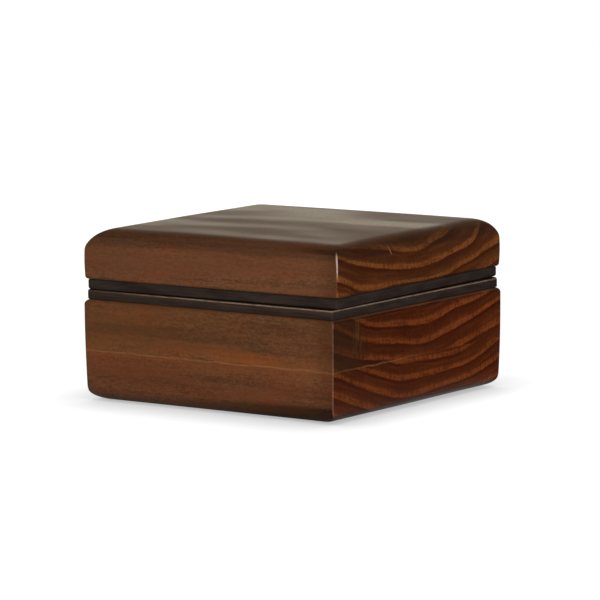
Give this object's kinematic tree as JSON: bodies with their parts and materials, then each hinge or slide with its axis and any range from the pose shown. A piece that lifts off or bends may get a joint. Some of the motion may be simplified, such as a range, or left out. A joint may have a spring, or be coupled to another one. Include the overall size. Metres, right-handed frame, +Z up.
{
  "type": "wooden keepsake box",
  "caption": "Square lidded box of stained pine boards with rounded edges, a dark band on each side of the seam, a lining that forms the lip, and a loose lid that lifts off.",
  "frame": {"origin": "centre of the underside, on the surface that the box stands on", "axes": "+Z up, +X along the grain towards the right-hand end-grain face, -Y towards the front face"},
  "size_m": [0.153, 0.153, 0.086],
  "materials": {
    "stained_pine": "satin lacquer over brown stain",
    "black_band": "black-stained wood, satin, edges rubbed",
    "liner_wood": "brown stain, matt",
    "felt": "pressed wool felt"
  },
  "bodies": {
    "base": {"base_lower_board": "stained_pine", "base_upper_board": "stained_pine", "base_band_front": "black_band", "base_band_right": "black_band", "base_band_back": "black_band", "base_band_left": "black_band", "liner_front": "liner_wood", "liner_right": "liner_wood", "liner_back": "liner_wood", "liner_left": "liner_wood", "base_felt": "felt"},
    "lid": {"lid_board": "stained_pine", "lid_band_front": "black_band", "lid_band_right": "black_band", "lid_band_back": "black_band", "lid_band_left": "black_band", "lid_felt": "felt"}
  },
  "joints": [
    {"name": "lid_lift", "type": "slide", "parent": "base", "child": "lid", "axis": [0, 0, 1], "range_m": [0, 0.1]}
  ]
}
